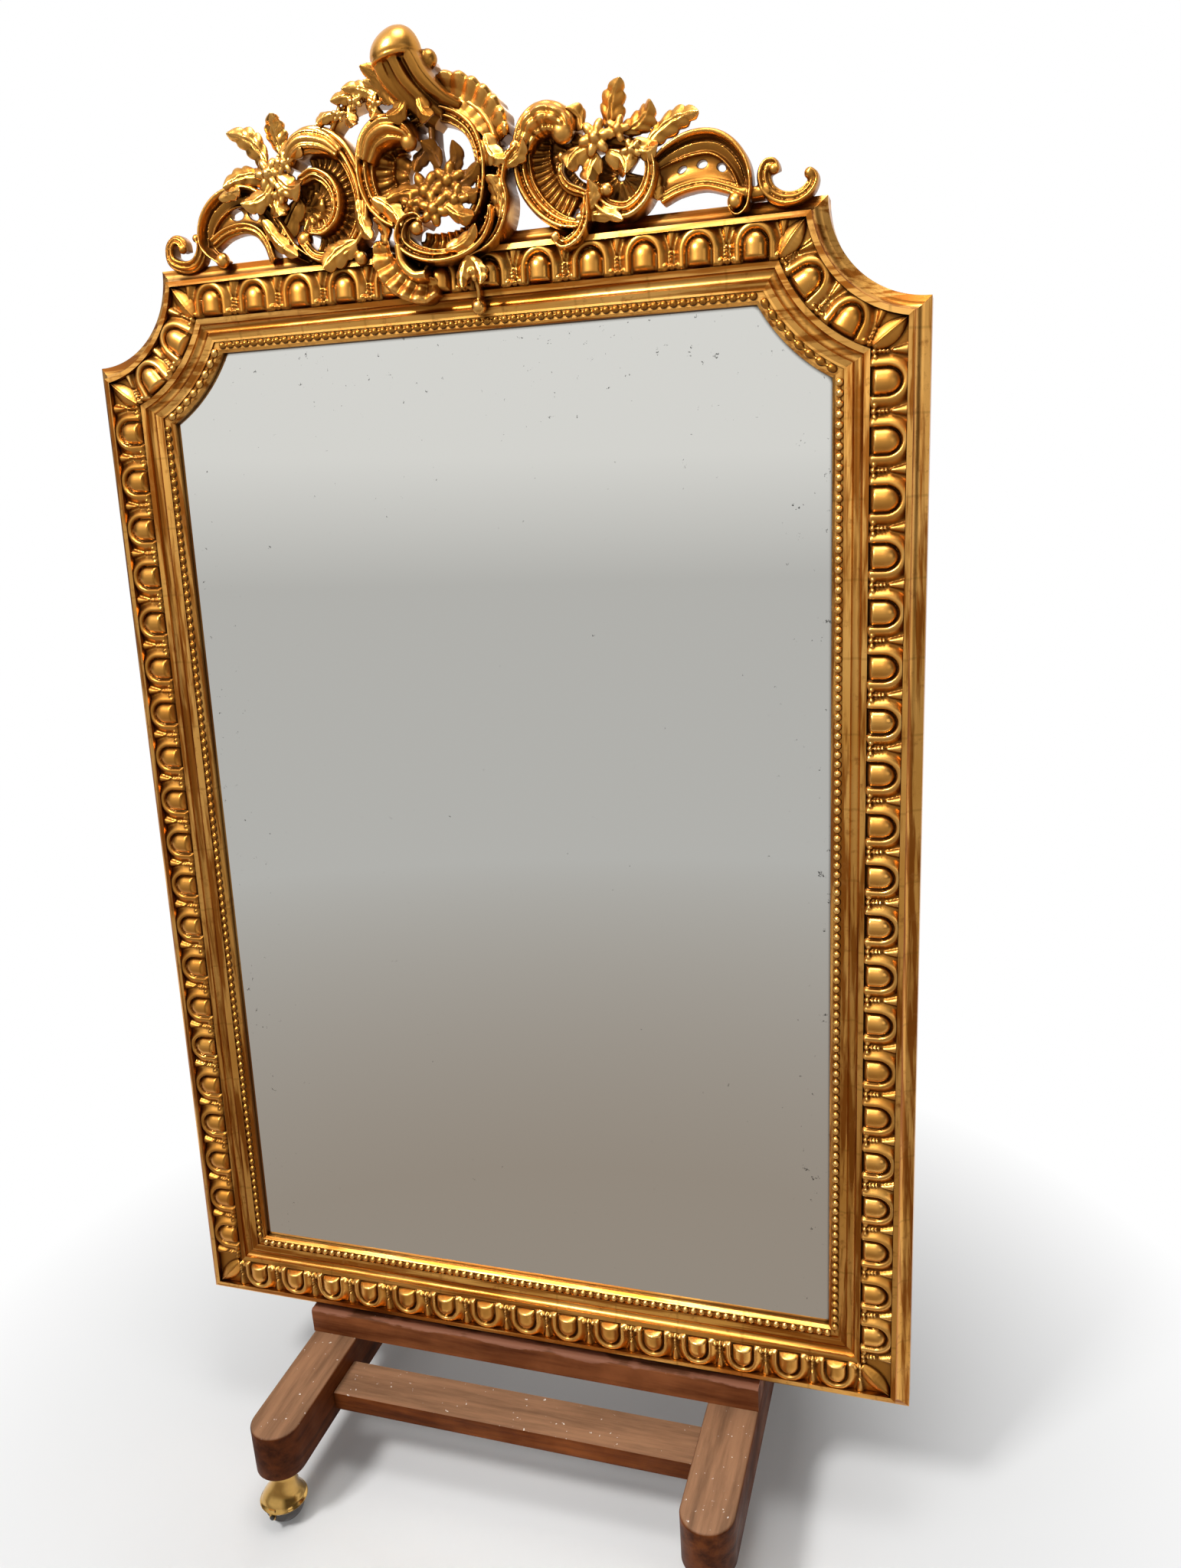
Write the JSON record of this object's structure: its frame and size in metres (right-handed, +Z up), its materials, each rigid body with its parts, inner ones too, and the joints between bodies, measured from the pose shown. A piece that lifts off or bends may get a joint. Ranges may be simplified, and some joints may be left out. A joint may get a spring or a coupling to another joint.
{
  "type": "gilt mirror on castored stand",
  "caption": "Tall gilt wall mirror with scooped upper corners, egg-and-dart and pearl borders and a pierced rocaille crest, leaning on a low wooden stand with brass ball castors.",
  "frame": {"origin": "on the floor, at the middle of the whole object's width and depth", "axes": "+X to the viewer's right, +Y to the back (the glass faces -Y), +Z up"},
  "size_m": [1.04, 0.6198, 1.8776],
  "materials": {
    "gilt_wood": "aged water gilding",
    "silvered_glass": "aged silvering",
    "pine_board": "raw, darkened",
    "iron": "dark, forged",
    "brown_wood": "worn varnish",
    "brass": "polished",
    "steel": "plain",
    "castor_ball": "dark"
  },
  "bodies": {
    "stand": {"stand_left_foot": "brown_wood", "stand_right_foot": "brown_wood", "stand_left_post": "brown_wood", "stand_right_post": "brown_wood", "stand_left_brace": "brown_wood", "stand_right_brace": "brown_wood", "stand_ledge": "brown_wood", "stand_stretcher": "brown_wood", "stand_cross_rail": "brown_wood", "castor_plates": "brass"},
    "mirror": {"frame_left_stile": "gilt_wood", "frame_right_stile": "gilt_wood", "frame_bottom_rail": "gilt_wood", "frame_top_rail": "gilt_wood", "frame_left_scoop": "gilt_wood", "frame_right_scoop": "gilt_wood", "egg_and_dart_left": "gilt_wood", "egg_and_dart_right": "gilt_wood", "egg_and_dart_bottom": "gilt_wood", "egg_and_dart_top": "gilt_wood", "egg_and_dart_left_scoop": "gilt_wood", "egg_and_dart_right_scoop": "gilt_wood", "pearl_string_left": "gilt_wood", "pearl_string_right": "gilt_wood", "pearl_string_bottom": "gilt_wood", "pearl_string_top": "gilt_wood", "pearl_string_left_scoop": "gilt_wood", "pearl_string_right_scoop": "gilt_wood", "left_wing_scroll": "gilt_wood", "left_wing_arch": "gilt_wood", "left_wing_spray": "gilt_wood", "right_wing_scroll": "gilt_wood", "right_wing_arch": "gilt_wood", "right_wing_spray": "gilt_wood", "crest_left_scroll": "gilt_wood", "crest_right_scroll": "gilt_wood", "crest_lower_volute": "gilt_wood", "crest_shell": "gilt_wood", "crest_ruffled_arm": "gilt_wood", "crest_finial": "gilt_wood", "crest_garland": "gilt_wood", "crest_bouquet": "gilt_wood", "crest_pendant": "gilt_wood", "mirror_plate": "silvered_glass", "back_board": "pine_board", "glass_blocks": "pine_board", "hanging_plates": "iron", "crest_straps": "iron"},
    "castor_front_left": {"castor_front_left_hood": "brass", "castor_front_left_axle": "steel"},
    "castor_front_left_ball": {"castor_front_left_wheel": "castor_ball"},
    "castor_front_right": {"castor_front_right_hood": "brass", "castor_front_right_axle": "steel"},
    "castor_front_right_ball": {"castor_front_right_wheel": "castor_ball"},
    "castor_rear_left": {"castor_rear_left_hood": "brass", "castor_rear_left_axle": "steel"},
    "castor_rear_left_ball": {"castor_rear_left_wheel": "castor_ball"},
    "castor_rear_right": {"castor_rear_right_hood": "brass", "castor_rear_right_axle": "steel"},
    "castor_rear_right_ball": {"castor_rear_right_wheel": "castor_ball"}
  },
  "joints": [
    {"name": "mirror_lift", "type": "slide", "parent": "stand", "child": "mirror", "axis": [0, 0.0611, 0.9981], "range_m": [0, 0.25]},
    {"name": "front_left_swivel", "type": "hinge", "parent": "stand", "child": "castor_front_left", "pos_m": [-0.311, -0.274, 0.08], "axis": [0, 0, 1], "continuous": true},
    {"name": "front_left_roll", "type": "hinge", "parent": "castor_front_left", "child": "castor_front_left_ball", "pos_m": [-0.319, -0.274, 0.028], "axis": [0, 1, 0], "continuous": true},
    {"name": "front_right_swivel", "type": "hinge", "parent": "stand", "child": "castor_front_right", "pos_m": [0.291, -0.274, 0.08], "axis": [0, 0, 1], "continuous": true},
    {"name": "front_right_roll", "type": "hinge", "parent": "castor_front_right", "child": "castor_front_right_ball", "pos_m": [0.283, -0.274, 0.028], "axis": [0, 1, 0], "continuous": true},
    {"name": "rear_left_swivel", "type": "hinge", "parent": "stand", "child": "castor_rear_left", "pos_m": [-0.311, 0.274, 0.08], "axis": [0, 0, 1], "continuous": true},
    {"name": "rear_left_roll", "type": "hinge", "parent": "castor_rear_left", "child": "castor_rear_left_ball", "pos_m": [-0.319, 0.274, 0.028], "axis": [0, 1, 0], "continuous": true},
    {"name": "rear_right_swivel", "type": "hinge", "parent": "stand", "child": "castor_rear_right", "pos_m": [0.291, 0.274, 0.08], "axis": [0, 0, 1], "continuous": true},
    {"name": "rear_right_roll", "type": "hinge", "parent": "castor_rear_right", "child": "castor_rear_right_ball", "pos_m": [0.283, 0.274, 0.028], "axis": [0, 1, 0], "continuous": true}
  ]
}
